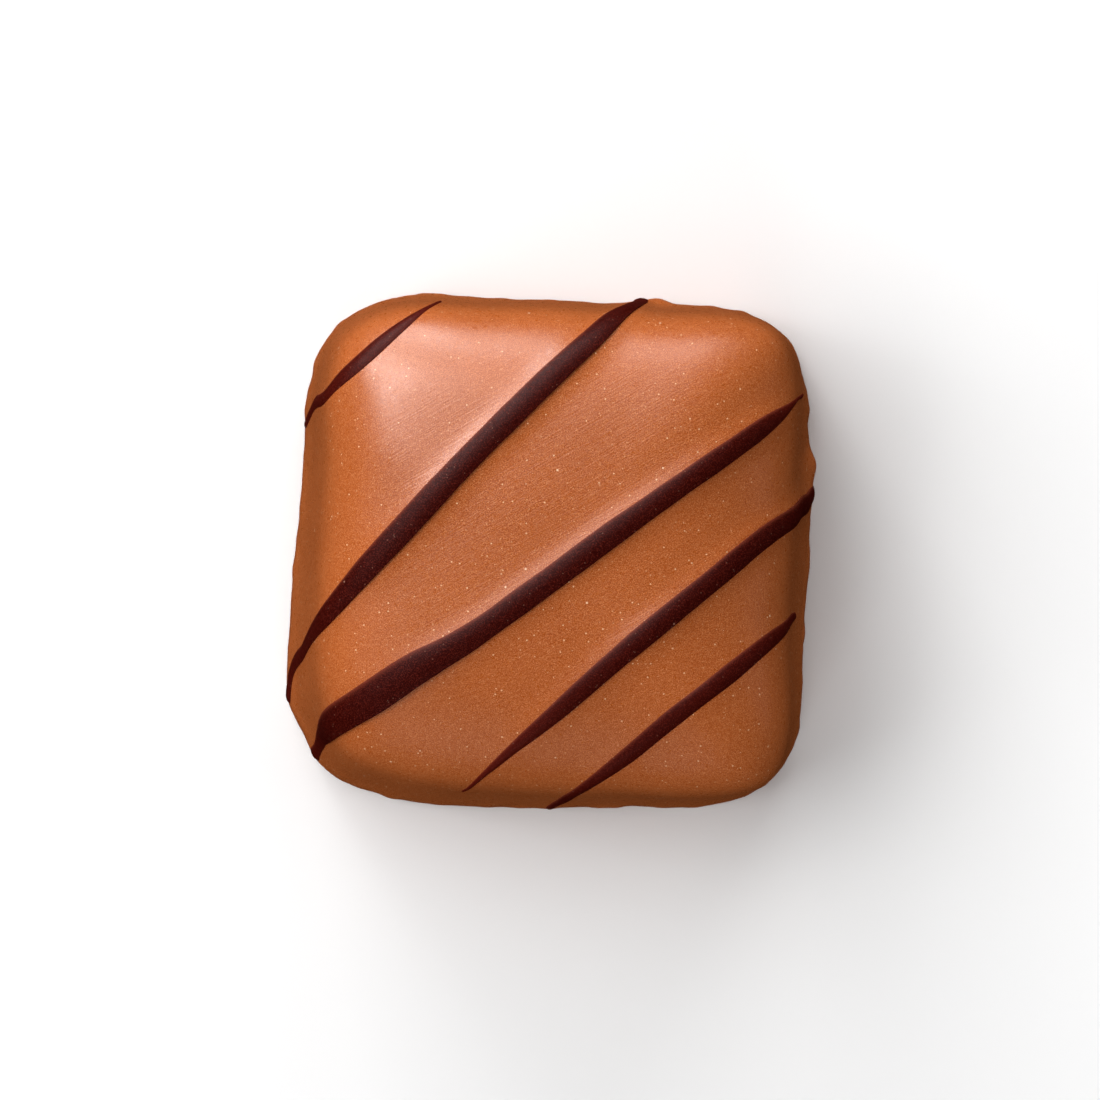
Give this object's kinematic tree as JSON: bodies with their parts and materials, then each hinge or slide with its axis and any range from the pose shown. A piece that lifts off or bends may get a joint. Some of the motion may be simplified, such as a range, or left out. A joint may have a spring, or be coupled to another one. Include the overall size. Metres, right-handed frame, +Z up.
{
  "type": "chocolate-coated brittle candy",
  "caption": "Rounded square sweet: a brittle centre under a smooth milk chocolate coating, with raised diagonal lines of dark chocolate drizzled over it.",
  "frame": {"origin": "middle of the flat base, on the surface that the sweet rests on", "axes": "+Z up out of the base through the top; +X to the right and +Y to the rear as the sweet is seen from above, with the drizzle lines running from the left front to the right rear"},
  "size_m": [0.0298, 0.0291, 0.0164],
  "materials": {
    "milk_chocolate": "satin milk chocolate coating with a fine sandy grain",
    "dark_chocolate": "satin dark chocolate drizzle"
  },
  "bodies": {
    "root": {"coated_candy": "milk_chocolate"}
  },
  "joints": []
}
